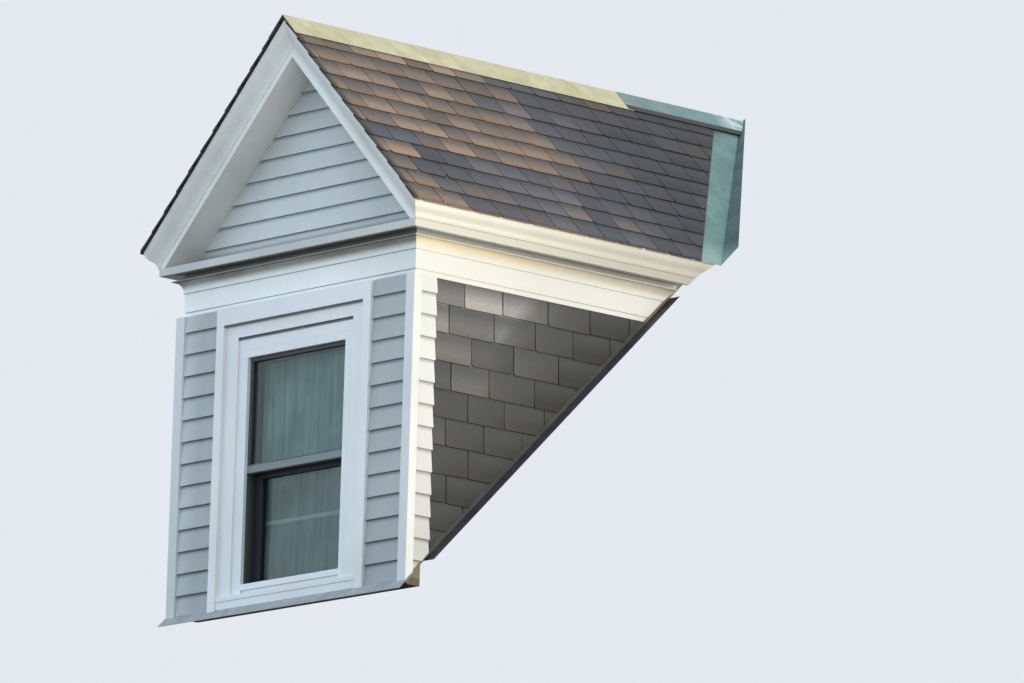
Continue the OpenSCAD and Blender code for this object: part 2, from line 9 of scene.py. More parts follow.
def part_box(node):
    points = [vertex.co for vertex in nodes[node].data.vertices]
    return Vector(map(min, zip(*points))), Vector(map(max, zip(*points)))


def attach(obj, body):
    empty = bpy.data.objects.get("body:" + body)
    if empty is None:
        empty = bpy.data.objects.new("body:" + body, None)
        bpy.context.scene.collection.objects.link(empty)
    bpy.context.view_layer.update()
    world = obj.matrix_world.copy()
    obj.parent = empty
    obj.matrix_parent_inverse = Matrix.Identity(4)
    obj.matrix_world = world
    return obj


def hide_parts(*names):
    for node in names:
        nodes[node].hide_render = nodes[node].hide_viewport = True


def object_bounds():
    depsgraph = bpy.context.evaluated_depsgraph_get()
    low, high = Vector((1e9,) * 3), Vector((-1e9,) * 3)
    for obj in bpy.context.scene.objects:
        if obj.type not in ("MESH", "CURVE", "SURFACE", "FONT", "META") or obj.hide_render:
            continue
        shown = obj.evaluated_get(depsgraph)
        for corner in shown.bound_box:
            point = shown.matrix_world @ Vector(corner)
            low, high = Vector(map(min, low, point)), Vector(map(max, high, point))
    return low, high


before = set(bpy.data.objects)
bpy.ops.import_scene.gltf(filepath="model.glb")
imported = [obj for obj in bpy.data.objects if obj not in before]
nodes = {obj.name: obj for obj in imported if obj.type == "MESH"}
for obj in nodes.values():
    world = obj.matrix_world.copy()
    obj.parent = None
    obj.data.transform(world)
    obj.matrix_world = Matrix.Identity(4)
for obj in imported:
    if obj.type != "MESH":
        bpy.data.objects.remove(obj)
scene = bpy.context.scene
cad_low, cad_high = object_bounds()

# Camera
# It stands 53 m off and well below the dormer's foot, on the right, so it looks up
# at the front and at the right-hand cheek.
camera_place = Vector((38.898, -33.712, -9.004))
camera_aim = Vector((0.01, 1.37, 1.56))
camera_roll = math.radians(1.72)
forward = (camera_aim - camera_place).normalized()
level = forward.cross(Vector((0, 0, 1))).normalized()
upright = level.cross(forward)
camera_x = level * math.cos(camera_roll) + upright * math.sin(camera_roll)
camera_y = upright * math.cos(camera_roll) - level * math.sin(camera_roll)
camera = bpy.data.objects.new("camera", bpy.data.cameras.new("camera"))
camera.data.sensor_width = 36
camera.data.lens = 365
camera.data.clip_start = 1
camera.data.clip_end = 400
camera.matrix_world = (
    Matrix.Translation(camera_place) @ Matrix((camera_x, camera_y, -forward)).transposed().to_4x4()
)
scene.collection.objects.link(camera)
scene.camera = camera

# Light and background
# The sun stands low on the right, a little behind the front, and reaches the cheek,
# the right-hand slope and the ground there. The front has only the pale blue sky.


def add_node(tree, kind, settings=None, **inputs):
    """A shader node with its settings, and with values or links on its inputs.

    An input goes by its name, or by its number after an i."""
    made = tree.nodes.new(kind)
    for name, value in (settings or {}).items():
        setattr(made, name, value)
    for name, value in inputs.items():
        numbered = name[0] == "i" and name[1:].isdigit()
        socket = made.inputs[int(name[1:]) if numbered else name]
        if isinstance(value, bpy.types.NodeSocket):
            tree.links.new(value, socket)
        else:
            socket.default_value = value
    return made


def between(tree, value, low, high, first=0.0, last=1.0):
    """A value turned into another range, and held inside it."""
    span = {"From Min": low, "From Max": high, "To Min": first, "To Max": last}
    return add_node(tree, "ShaderNodeMapRange", Value=value, **span).outputs[0]


def mix(tree, share, first, second, way="MIX"):
    """Two colours mixed, by a share that is a number or a link."""
    made = add_node(tree, "ShaderNodeMix", {"data_type": "RGBA", "blend_type": way}, i0=share)
    for socket, colour in ((made.inputs[6], first), (made.inputs[7], second)):
        if isinstance(colour, bpy.types.NodeSocket):
            tree.links.new(colour, socket)
        else:
            socket.default_value = (*colour, 1)
    return made.outputs[2]


def sums(tree, way, first, second):
    """The sum, product or the like of two values."""
    return add_node(tree, "ShaderNodeMath", {"operation": way}, i0=first, i1=second).outputs[0]


def reach_along(tree, point, direction):
    """How far a point reaches in a direction."""
    made = add_node(
        tree, "ShaderNodeVectorMath", {"operation": "DOT_PRODUCT"}, i0=point, i1=direction
    )
    return made.outputs["Value"]


sun = bpy.data.objects.new("sun", bpy.data.lights.new("sun", "SUN"))
sun.data.energy = 1.6
sun.data.angle = math.radians(13)
sun.data.color = (1.0, 0.88, 0.63)
sun_azimuth = math.radians(100)
sun_height = math.radians(8)
sun_from = Vector((
    math.sin(sun_azimuth) * math.cos(sun_height),
    -math.cos(sun_azimuth) * math.cos(sun_height),
    math.sin(sun_height),
))
sun.rotation_euler = sun_from.to_track_quat("Z", "Y").to_euler()
scene.collection.objects.link(sun)

world = bpy.data.worlds.new("pale sky")
world.use_nodes = True
scene.world = world
sky_tree = world.node_tree
sky_tree.nodes.clear()
towards = add_node(sky_tree, "ShaderNodeTexCoord").outputs["Object"]
height = add_node(sky_tree, "ShaderNodeSeparateXYZ", Vector=towards).outputs["Z"]
to_side = between(sky_tree, reach_along(sky_tree, towards, (0.86, 0.5, 0)), -0.1, 0.7)
sky = mix(sky_tree, to_side, (1.45, 1.80, 2.10), (0.98, 1.06, 1.15))
sky = mix(sky_tree, between(sky_tree, height, 0.15, 0.9), sky, (0.80, 0.95, 1.15))
below = mix(sky_tree, to_side, (0.16, 0.17, 0.17), (1.65, 1.34, 0.93))
sky = mix(sky_tree, between(sky_tree, height, 0.10, -0.12), sky, below)
room = add_node(sky_tree, "ShaderNodeBackground", Color=sky)
backdrop = add_node(sky_tree, "ShaderNodeBackground", Color=(0.78, 0.82, 0.88, 1))
path = add_node(sky_tree, "ShaderNodeLightPath")
seen = path.outputs["Is Camera Ray"]
for ray in ("Is Transmission Ray", "Is Glossy Ray"):
    seen = sums(sky_tree, "MAXIMUM", seen, path.outputs[ray])
sky_mix = add_node(
    sky_tree, "ShaderNodeMixShader", i0=seen, i1=room.outputs[0], i2=backdrop.outputs[0]
)
add_node(sky_tree, "ShaderNodeOutputWorld", Surface=sky_mix.outputs[0])
scene.view_settings.view_transform = "Standard"

# Floor
# A plain pale floor just under the dormer's foot. It shows from above only, because
# the camera looks up from below it, and it throws light up on the sun's side only.
floor_reach, floor_gap = 60, 0.004
floor_shape = bmesh.new()
bmesh.ops.create_grid(floor_shape, x_segments=1, y_segments=1, size=floor_reach)
bmesh.ops.translate(floor_shape, verts=floor_shape.verts, vec=(0, 0, cad_low[2] - floor_gap))
floor_mesh = bpy.data.meshes.new("floor")
floor_shape.to_mesh(floor_mesh)
floor_shape.free()
floor = bpy.data.objects.new("floor", floor_mesh)
scene.collection.objects.link(floor)
floor_paint = bpy.data.materials.new("floor paint")
floor_paint.use_nodes = True
floor_tree = floor_paint.node_tree
floor_shader = floor_tree.nodes["Principled BSDF"]
floor_shader.inputs["Roughness"].default_value = 0.9
floor_seen = add_node(floor_tree, "ShaderNodeLightPath").outputs["Is Camera Ray"]
floor_spot = add_node(floor_tree, "ShaderNodeTexCoord").outputs["Object"]
to_sun = between(floor_tree, reach_along(floor_tree, floor_spot, (0.9, 0.43, 0)), 0.7, 1.4)
thrown = mix(floor_tree, to_sun, (0.15, 0.14, 0.13), (0.78, 0.66, 0.49))
floor_tree.links.new(
    mix(floor_tree, floor_seen, thrown, (0.66, 0.64, 0.62)), floor_shader.inputs["Base Color"]
)
floor_mix = add_node(
    floor_tree, "ShaderNodeMixShader",
    i0=add_node(floor_tree, "ShaderNodeNewGeometry").outputs["Backfacing"],
    i1=floor_shader.outputs[0],
    i2=add_node(floor_tree, "ShaderNodeBsdfTransparent").outputs[0],
)
floor_tree.links.new(floor_mix.outputs[0], floor_tree.nodes["Material Output"].inputs["Surface"])
floor_mesh.materials.append(floor_paint)

# Timber frame
# Plates, studs, header, rafters and ridge board are sawn softwood, gone grey-brown
# in the attic, and nailed together. The grain of each group runs along the axis that
# is nearest to its longest member.


def material(name, roughness):
    """A new material, with its tree and its main shader."""
    made = bpy.data.materials.new(name)
    made.use_nodes = True
    shader = made.node_tree.nodes["Principled BSDF"]
    shader.inputs["Roughness"].default_value = roughness
    return made, made.node_tree, shader


def place(tree, scale=(1, 1, 1), source="Object"):
    """The point on the piece, stretched by a scale."""
    point = add_node(tree, "ShaderNodeTexCoord").outputs[source]
    return add_node(tree, "ShaderNodeMapping", Vector=point, Scale=scale).outputs[0]


def speckle(tree, point, scale, detail=4.0, rough=0.55, warp=0.0):
    """Noise from 0 to 1."""
    return add_node(
        tree, "ShaderNodeTexNoise", Vector=point, Scale=scale, Detail=detail,
        Roughness=rough, Distortion=warp,
    ).outputs["Fac"]


def ramp(tree, value, stops):
    """Colours or greys along a value; each stop is a place and a colour or grey."""
    made = add_node(tree, "ShaderNodeValToRGB", Fac=value)
    elements = made.color_ramp.elements
    while len(elements) < len(stops):
        elements.new(0.5)
    for element, (position, colour) in zip(elements, stops):
        element.position = position
        element.color = (*colour, 1) if isinstance(colour, tuple) else (colour, colour, colour, 1)
    return made.outputs["Color"]


def bump(tree, shader, height, depth, strength=1.0):
    """Gives the shader a relief from a height from 0 to 1, depth metres deep."""
    relief = add_node(
        tree, "ShaderNodeBump", Height=height, Distance=depth, Strength=strength
    )
    tree.links.new(relief.outputs[0], shader.inputs["Normal"])


def sawn_wood(name, grain, light, dark):
    """Sawn softwood with its grain along one axis."""
    made, tree, shader = material(name, 0.82)
    stretch = [34, 34, 34]
    stretch[grain] = 2.2
    rings = speckle(tree, place(tree, stretch), 1.0, 5, 0.6, 0.6)
    patches = speckle(tree, place(tree), 3.1, 3)
    body = mix(tree, rings, dark, light)
    body = mix(tree, ramp(tree, patches, [(0.45, 0.0), (0.7, 0.5)]), body, (0.20, 0.165, 0.13))
    tree.links.new(body, shader.inputs["Base Color"])
    fuzz = [420, 420, 420]
    fuzz[grain] = 25
    bump(tree, shader, speckle(tree, place(tree, fuzz), 1.0, 3, 0.7), 0.0009)
    return made


def finish_node(coat, *names):
    """Gives CAD nodes that stay a material."""
    for name in names:
        nodes[name].data.materials.clear()
        nodes[name].data.materials.append(coat)


dry_wood = ((0.29, 0.225, 0.155), (0.19, 0.14, 0.095))
damp_wood = ((0.17, 0.14, 0.105), (0.10, 0.08, 0.06))
for name, grain, tones, members in (
    ("wood across", 0, dry_wood, ("window_header", "gable_frame")),
    ("damp wood across", 0, damp_wood, ("front_plates",)),
    ("damp wood in depth", 1, damp_wood, ("cheek_sole_plates",)),
    ("wood upright", 2, dry_wood, ("front_studs", "cheek_studs")),
    ("wood in depth", 1, dry_wood, ("cheek_top_plates", "ridge_board", "valley_boards")),
    ("rafter wood", 0, dry_wood, ("rafters",)),
):
    finish_node(sawn_wood(name, grain, *tones), *members)

# Boarding of the walls and the roof
# Rough softwood boards, set side by side with a crack between them, are nailed
# across the studs and rafters. Each is sawn out of the boarded wall's CAD solid.


def whole(node):
    """A CAD node's solid with its corners joined and its flat faces in one piece."""
    shape = bmesh.new()
    shape.from_mesh(nodes[node].data)
    bmesh.ops.remove_doubles(shape, verts=shape.verts, dist=2e-5)
    bmesh.ops.dissolve_limit(
        shape, angle_limit=math.radians(0.5), verts=shape.verts, edges=shape.edges
    )
    return shape


def cut(shape, point, normal):
    """Cuts off what lies beyond a plane, on the side that its normal points to."""
    everything = shape.verts[:] + shape.edges[:] + shape.faces[:]
    made = bmesh.ops.bisect_plane(
        shape, geom=everything, plane_co=point, plane_no=normal, clear_outer=True
    )
    rim = [e for e in made["geom_cut"] if isinstance(e, bmesh.types.BMEdge)]
    if rim:
        bmesh.ops.triangle_fill(shape, use_beauty=True, edges=rim, normal=normal)


def add(target, piece):
    """Puts one shape into another and frees it."""
    part = bpy.data.meshes.new("part")
    piece.to_mesh(part)
    piece.free()
    target.from_mesh(part)
    bpy.data.meshes.remove(part)


def mark(mesh, name, value_of):
    """Writes one number for each loose piece of a mesh, from that piece's middle."""
    shape = bmesh.new()
    shape.from_mesh(mesh)
    layer = shape.verts.layers.float.new(name)
    done = set()
    for first in shape.verts:
        if first in done:
            continue
        done.add(first)
        island = [first]
        for vert in island:
            for edge in vert.link_edges:
                other = edge.other_vert(vert)
                if other not in done:
                    done.add(other)
                    island.append(other)
        value = value_of(sum((v.co for v in island), Vector()) / len(island))
        for vert in island:
            vert[layer] = value
    shape.to_mesh(mesh)
    shape.free()


def piece_from(shape, name, coat, slot, *replaced):
    """Makes a shape a piece of the dormer, which stands for its CAD nodes."""
    bmesh.ops.recalc_face_normals(shape, faces=shape.faces)
    round_limit = math.radians(20)
    for face in shape.faces:
        face.smooth = True
    for edge in shape.edges:
        edge.smooth = len(edge.link_faces) == 2 and edge.calc_face_angle(math.pi) < round_limit
    mesh = bpy.data.meshes.new(name)
    shape.to_mesh(mesh)
    shape.free()
    mesh.materials.append(coat)
    made = bpy.data.objects.new(name, mesh)
    scene.collection.objects.link(made)
    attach(made, "root")
    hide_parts(*replaced)
    return made


def piece_number(tree, name):
    """The number that mark wrote on each loose piece of the mesh."""
    return add_node(tree, "ShaderNodeAttribute", {"attribute_name": name}).outputs["Fac"]


def boards(name, node, across, grain):
    """Boards side by side along a direction, sawn from a boarded wall's solid."""
    width, crack = 0.14, 0.003
    source = whole(node)
    across = Vector(across)
    reach = [v.co.dot(across) for v in source.verts]
    joined = bmesh.new()
    for step in range(math.ceil((max(reach) - min(reach)) / width)):
        board = source.copy()
        start = min(reach) + step * width
        cut(board, across * start, -across)
        cut(board, across * (start + width - crack), across)
        add(joined, board)
    source.free()
    made, tree, shader = material(name + " wood", 0.85)
    stretch = [26, 26, 26]
    stretch[grain] = 1.8
    rings = speckle(tree, place(tree, stretch), 1.0, 5, 0.6, 0.8)
    body = mix(tree, rings, (0.17, 0.13, 0.09), (0.27, 0.215, 0.15))
    body = mix(tree, piece_number(tree, "tone"), body, (0.24, 0.19, 0.14))
    tree.links.new(body, shader.inputs["Base Color"])
    bump(tree, shader, rings, 0.001)
    draw = random.Random(name)
    result = piece_from(joined, name, made, "boarding", node)
    mark(result.data, "tone", lambda middle: draw.uniform(0.0, 0.6))


pitch = math.radians(45.75)  # of the dormer's own roof
boards("front_wall_boards", "front_boards", (0, 0, 1), 0)
boards("cheek_wall_boards", "cheek_boards", (0, 0, 1), 1)
boards("gable_wall_boards", "gable_boards", (0, 0, 1), 0)
boards("right_deck_boards", "roof_boards_right", (-math.cos(pitch), 0, math.sin(pitch)), 1)
boards("left_deck_boards", "roof_boards_left", (math.cos(pitch), 0, math.sin(pitch)), 1)

# Siding
# Horizontal lapped boards, painted pale grey-blue, nailed over the boarding with
# their lower edges standing out. Their edges are eased a little by many coats.


def eased(node, ease):
    """A CAD node's solid with its outer edges rounded."""
    shape = whole(node)
    turned = [
        e for e in shape.edges
        if len(e.link_faces) == 2 and e.is_convex and e.calc_face_angle(0) > math.radians(40)
    ]
    bmesh.ops.bevel(
        shape, geom=turned, offset=ease, offset_type="OFFSET", segments=2, profile=0.5,
        affect="EDGES", material=-1, clamp_overlap=True,
    )
    return shape


def along_axis(tree, axis):
    """The place along one axis of the piece."""
    point = add_node(tree, "ShaderNodeTexCoord").outputs["Object"]
    return add_node(tree, "ShaderNodeSeparateXYZ", Vector=point).outputs[axis]


def facing(tree, axis):
    """How far the surface faces along one axis, from -1 to 1."""
    normal = add_node(tree, "ShaderNodeTexCoord").outputs["Normal"]
    return add_node(tree, "ShaderNodeSeparateXYZ", Vector=normal).outputs[axis]


def lap_shade(tree, body, up, foot, course, reach, dark):
    """Darkens the strip under each lap, where dirt and shade gather.

    up is the place up the courses, foot where they start, and reach the strip's height."""
    up = sums(tree, "FLOORED_MODULO", sums(tree, "SUBTRACT", up, foot), course)
    strip = between(tree, up, course - reach, course - 0.25 * reach, 0.0, dark)
    return mix(tree, strip, body, (0.04, 0.045, 0.05))


def fade(tree, body, *ramps):
    """Multiplies a colour along axes; each ramp has an axis, two places and its greys."""
    for axis, first, last, greys in ramps:
        place_on = between(tree, along_axis(tree, axis), first, last)
        stops = [(i / (len(greys) - 1), grey) for i, grey in enumerate(greys)]
        body = mix(tree, 1.0, body, ramp(tree, place_on, stops), "MULTIPLY")
    return body


def paint(name, colour, shade, grain, under=None, laps=None, fades=()):
    """Old oil paint on wood: colour, its dirtier shade, and brush lines along an axis.

    under holds the two colours, near the front and far back, of what faces down, laps
    what lap_shade takes, and fades what fade takes."""
    made, tree, shader = material(name, 0.5)
    cloud = speckle(tree, place(tree), 2.7, 5, 0.6)
    runs = speckle(tree, place(tree, (24, 24, 2.2)), 1.0, 4, 0.6)
    body = mix(tree, ramp(tree, cloud, [(0.42, 0.0), (0.72, 0.8)]), colour, shade)
    body = mix(tree, ramp(tree, runs, [(0.55, 0.0), (0.8, 0.35)]), body, shade)
    # What faces down takes the under colours: dirt, with painted shade on some coats and painted
    # light on others.
    if under:
        underside_dirt_and_shading = mix(tree, between(tree, along_axis(tree, "Y"), 0.0, 1.3), *under)
        underside_dirt_and_shading = mix(tree, ramp(tree, cloud, [(0.35, 0.0), (0.65, 0.4)]), underside_dirt_and_shading, shade)
        body = mix(tree, between(tree, facing(tree, "Z"), -0.15, -0.6), body, underside_dirt_and_shading)
    if laps:
        body = lap_shade(tree, body, along_axis(tree, "Z"), *laps)
    body = fade(tree, body, *fades)
    tree.links.new(body, shader.inputs["Base Color"])
    stretch = [260, 260, 260]
    stretch[grain] = 9
    lines = speckle(tree, place(tree, stretch), 1.0, 2, 0.6)
    bump(tree, shader, lines, 0.0005)
    return made


coat_ease = 0.0015
lap_course, gable_course, lap_reach = 0.114, 0.104, 0.022
crown_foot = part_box("front_cornice")[1].z
gable_foot = crown_foot - 0.012
# Besides lap_shade's strips, the front siding is painted lighter beside the left post, as painted
# light against the post's shade, and darker towards the bottom. The gable siding is darker towards
# the right and the top, as painted shade under the raking cornice, and has painted shade in a
# strip just above the front cornice. The cheek siding is darker towards the bottom.
for node, name, coat_name, colour, shade, grain, laps, fades in (
    ("front_siding", "front_lap_siding", "siding paint across",
     (0.42, 0.45, 0.445), (0.35, 0.385, 0.385), 0, (0, lap_course, lap_reach, 0.42),
     (("X", -0.86, -0.72, (1.35, 1.0)), ("Z", 0.15, 0.55, (0.88, 1.0)))),
    ("tympanum_siding", "gable_lap_siding", "gable siding paint",
     (0.63, 0.66, 0.66), (0.54, 0.57, 0.57), 0, (gable_foot, gable_course, lap_reach, 0.38),
     (("X", -0.1, 0.5, (1.0, 0.84)), ("Z", 2.1, 2.6, (1.0, 0.86)),
      ("Z", gable_foot + 0.055, gable_foot + 0.090, (0.35, 1.0)))),
    ("cheek_siding", "cheek_lap_siding", "siding paint in depth",
     (0.69, 0.69, 0.68), (0.62, 0.62, 0.61), 1, (0, lap_course, lap_reach, 0.35),
     (("Z", 0.2, 1.0, (0.78, 1.0)),)),
):
    coat = paint(coat_name, colour, shade, grain, laps=laps, fades=fades)
    piece_from(eased(node, coat_ease), name, coat, "siding", node)

# Trim
# Corner posts, casing, sill, friezes with their cove, and boxed and raking cornices
# are pine, nailed on and painted thickly in white. Where they face down they carry
# dirt and painted shade at the front, and painted light at the sides.
trim_colour, trim_shade = (0.81, 0.81, 0.79), (0.72, 0.72, 0.70)
rake_coat = paint("raking trim paint", (0.82, 0.81, 0.77), (0.68, 0.67, 0.63), 0)
# What faces down at the front is painted dark brown-grey: dirt, and painted shade under the
# cornice.
front_underside_dirt_and_shade = ((0.25, 0.23, 0.19), (0.25, 0.23, 0.19))
frieze_foot, frieze_top = (corner.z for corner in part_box("front_frieze"))
cove_foot = frieze_top - 0.044
# The front frieze is painted whiter than the casing, as painted light. A painted shadow line runs
# along its foot, and everything above cove_foot is darkened as painted shade in the cove and the
# gap over it. It is also darker towards the right.
frieze_coat = paint(
    "front frieze paint", (0.95, 0.95, 0.92), (0.86, 0.86, 0.83), 0, under=front_underside_dirt_and_shade,
    fades=(("X", 0.2, 0.9, (1.0, 0.84)),
           ("Z", frieze_foot + 0.006, frieze_foot + 0.010, (0.62, 1.0)),
           ("Z", cove_foot, cove_foot + 0.002, (1.0, 0.45))),
)
fascia_coat = paint(
    "front fascia paint", (0.58, 0.58, 0.55), (0.48, 0.48, 0.45), 0, under=front_underside_dirt_and_shade
)
# On the side friezes, what faces down is painted warm orange at the front, fading to grey-beige at
# the back: stains with painted warm reflected light. A strip just above the cove's foot carries
# painted shade, what lies higher carries painted light, and the frieze is darker towards the back.
side_frieze_coat = paint(
    "side frieze paint", (0.745, 0.745, 0.735), (0.68, 0.68, 0.67), 1,
    under=((0.95, 0.80, 0.54), (0.60, 0.56, 0.49)),
    fades=(("Y", -0.1, 1.4, (1.0, 0.90, 0.89)),
           ("Z", cove_foot, cove_foot + 0.016, (1.0, 0.76, 0.76, 1.3))),
)
# On the side cornices, what faces down is painted whiter than the rest, as painted light on the
# crown's lower faces. They are darker towards the back, and darker below the front cornice's top.
side_coat = paint(
    "side trim paint", (0.86, 0.83, 0.76), (0.80, 0.77, 0.70), 1,
    under=((0.98, 0.96, 0.90), (0.98, 0.96, 0.92)),
    fades=(("Y", -0.2, 1.8, (1.0, 0.80, 0.58)),
           ("Z", crown_foot - 0.010, crown_foot + 0.004, (0.76, 1.0))),
)
sill_coat = paint("upright trim paint", trim_colour, trim_shade, 2)
# The posts are painted darker, the left one the more, as painted shade.
post_coat = paint(
    "post paint", trim_colour, trim_shade, 2, fades=(("X", -0.8, 0.8, (0.86, 0.91)),)
)


def over(coat, share, colour):
    """Lays another colour over a coat, by a share."""
    tree, shader = coat.node_tree, coat.node_tree.nodes["Principled BSDF"]
    before = shader.inputs["Base Color"].links[0].from_socket
    tree.links.new(mix(tree, share, before, colour), shader.inputs["Base Color"])


def shadow_under_band(coat, half_width, top, deep, grey):
    """Paints a shadow: a darker level strip of the casing under a band's edge, in its middle part.
    """
    tree = coat.node_tree
    sharp, soft = 0.0005, 0.003
    out = sums(tree, "ABSOLUTE", along_axis(tree, "X"), 0.0)
    up = along_axis(tree, "Z")
    strip = sums(tree, "MULTIPLY", between(tree, up, top - deep - soft, top - deep + soft),
                 between(tree, up, top + sharp, top))
    strip = sums(tree, "MULTIPLY", strip, between(tree, out, half_width + sharp, half_width))
    over(coat, strip, grey)


band_width, band_height = 0.058, 0.090
middle_width, middle_height = 0.092, 0.072
band_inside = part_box("window_casing")[1].x - band_width
band_foot = frieze_foot - band_height
casing_coat = paint("casing paint", trim_colour, trim_shade, 2)
# Painted shadow lines under the edges of the casing's two head bands.
shadow_under_band(casing_coat, band_inside, band_foot, 0.012, (0.34, 0.35, 0.35))
shadow_under_band(casing_coat, band_inside - middle_width, band_foot - middle_height, 0.014,
       (0.17, 0.18, 0.18))
for node, name, coat in (
    ("corner_posts", "posts", post_coat),
    ("front_frieze", "front_frieze_moulding", frieze_coat),
    ("left_frieze", "left_frieze_moulding", side_frieze_coat),
    ("right_frieze", "right_frieze_moulding", side_frieze_coat),
    ("front_cornice", "front_cornice_moulding", fascia_coat),
    ("left_cornice", "left_cornice_moulding", side_coat),
    ("right_cornice", "right_cornice_moulding", side_coat),
    ("left_rake_cornice", "left_raking_moulding", rake_coat),
    ("right_rake_cornice", "right_raking_moulding", rake_coat),
    ("window_casing", "casing_boards", casing_coat),
    ("window_sill", "sill_board", sill_coat),
):
    piece_from(eased(node, coat_ease), name, coat, "trim", node)

# Slates
# Split slates hang on nails in courses, every joint over the middle of the slate
# below. Those of the roof are narrow, and brown and grey; those of the cheeks wide.


def single_slate(draw, wide, long, thick, corner_round):
    """A slate lying flat, its tail at y 0 and its face at z 0, with worn tail corners.

    A few have one corner of the tail broken off."""
    rim_wear, broken_share = 0.0014, 0.07
    slate = bmesh.new()
    bmesh.ops.create_cube(slate, size=1)
    bmesh.ops.scale(slate, verts=slate.verts, vec=(wide, long, thick))
    bmesh.ops.translate(slate, verts=slate.verts, vec=(0, long / 2, -thick / 2))
    tail_corners = [
        e for e in slate.edges if all(v.co.y < 1e-6 for v in e.verts)
        and abs(e.verts[0].co.x - e.verts[1].co.x) < 1e-6
    ]
    bmesh.ops.bevel(
        slate, geom=tail_corners, offset=corner_round, offset_type="OFFSET", segments=2,
        profile=0.5, affect="EDGES", material=-1, clamp_overlap=True,
    )
    rim = [e for e in slate.edges if all(abs(v.co.z) < 1e-6 for v in e.verts)]
    bmesh.ops.bevel(
        slate, geom=rim, offset=rim_wear, offset_type="OFFSET", segments=1,
        profile=0.5, affect="EDGES", material=-1, clamp_overlap=True,
    )
    if draw.random() < broken_share:
        side = draw.choice((-1, 1))
        chip = Vector((side * (wide / 2 - draw.uniform(0.006, 0.02)), 0, 0))
        cut(slate, chip, Vector((side, -draw.uniform(0.5, 1.6), 0)))
    return slate


def slate_courses(seed, corner, along, up, out, rows, length, course, width, heights, cuts):
    """Courses of single slates on a plane, from its lower corner, cut off at planes.

    heights are the height of the slates' face at the tail and at the next tail. Under
    the first course lies a starter course of short slates."""
    draw = random.Random(seed)
    along, up, out, corner = Vector(along), Vector(up), Vector(out), Vector(corner)
    thick, starter_share, slate_share = 0.0062, 0.8, 1.3
    tilt = math.atan2(heights[0] - heights[1], course)
    frame_of = Matrix((along, up, out)).transposed().to_4x4()
    joined = bmesh.new()
    for row in range(-1, rows):
        starter = row < 0
        at = -draw.uniform(0, 0.2) * width - (row % 2) * width / 2
        while at < length:
            wide = width * draw.uniform(0.88, 1.12)
            gap = draw.uniform(0.002, 0.006)
            long = course * (starter_share if starter else slate_share)
            slate = single_slate(draw, wide - gap, long, thick, draw.uniform(0.006, 0.016))
            lean = 0.0 if starter else tilt + draw.uniform(-0.006, 0.002)
            spin = Matrix.Rotation(draw.uniform(-0.009, 0.009), 4, "Z")
            spin = spin @ Matrix.Rotation(-lean, 4, "X")
            face = thick + 0.0005 if starter else heights[0] - draw.uniform(0, 0.0006)
            spot = corner + along * (at + wide / 2) + out * face
            spot += up * (0 if starter else row * course + draw.uniform(0, 0.005))
            bmesh.ops.transform(
                slate, verts=slate.verts, matrix=Matrix.Translation(spot) @ frame_of @ spin
            )
            for point, normal in cuts:
                reach = [(v.co - Vector(point)).dot(Vector(normal)) for v in slate.verts]
                if reach and max(reach) > 0:
                    cut(slate, Vector(point), Vector(normal))
            if slate.faces:
                add(joined, slate)
            else:
                slate.free()
            at += wide
    return joined


def slate_material(name, tones, shade_of, up_way, foot, course, dark):
    """Riven slate: each slate has its own tone from a ramp, with a fine grain.

    shade_of gives a shade for the whole face, up_way is the way up the courses, foot
    the place along it where they start, and dark how much darker a slate is under the
    next one's tail."""
    made, tree, shader = material(name, 0.62)
    body = ramp(tree, piece_number(tree, "warm"), tones)
    tone = ramp(tree, piece_number(tree, "tone"), [(0.0, 0.54), (1.0, 1.08)])
    body = mix(tree, 1.0, body, tone, "MULTIPLY")
    cloud = ramp(tree, speckle(tree, place(tree), 17.0, 5, 0.62), [(0.35, 0.0), (0.75, 0.5)])
    body = mix(tree, cloud, body, (0.5, 0.5, 0.5), "OVERLAY")
    fine = ramp(tree, speckle(tree, place(tree), 160.0, 3, 0.7), [(0.3, 0.25), (0.7, 0.75)])
    body = mix(tree, 0.35, body, fine, "OVERLAY")
    body = mix(tree, 1.0, body, shade_of(tree), "MULTIPLY")
    # Painted shade: faces turned to the front or downwards, such as the slates' edges, are
    # darkened nearly to black.
    for axis, first, last in (("Y", -0.6, -0.9), ("Z", -0.35, -0.6)):
        edge = between(tree, facing(tree, axis), first, last, 0.0, 0.8)
        body = mix(tree, edge, body, (0.018, 0.016, 0.015))
    point = add_node(tree, "ShaderNodeTexCoord").outputs["Object"]
    point = add_node(tree, "ShaderNodeVectorMath", {"operation": "ABSOLUTE"}, i0=point).outputs[0]
    up = reach_along(tree, point, up_way)
    body = lap_shade(tree, body, up, foot, course, 0.7 * course, dark)
    tree.links.new(body, shader.inputs["Base Color"])
    bump(tree, shader, speckle(tree, place(tree), 46.0, 6, 0.62, 0.4), 0.0028, 0.7)
    return made


slate_low, slate_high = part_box("roof_slates_right")
deck_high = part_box("roof_boards_right")[1]
crown_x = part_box("right_cornice")[1].x
eave_z = deck_high.z - crown_x * math.tan(pitch)
slope_length = crown_x / math.cos(pitch)
back_pitch = math.radians(44.5)  # of the plane that the dormer ends in
valley_open_low = 0.136  # copper left open beside the slates at the eaves
valley_run = slate_high.x * math.tan(pitch) / math.tan(back_pitch)
valley_low_y = deck_high.y - valley_run - valley_open_low
slate_heights = (0.0155, 0.0085)
roof_course, roof_slate_width, roof_overhang = 0.130, 0.185, 0.008
first_tail = -1.5 * roof_overhang
up_roof = (-math.cos(pitch), 0, math.sin(pitch))


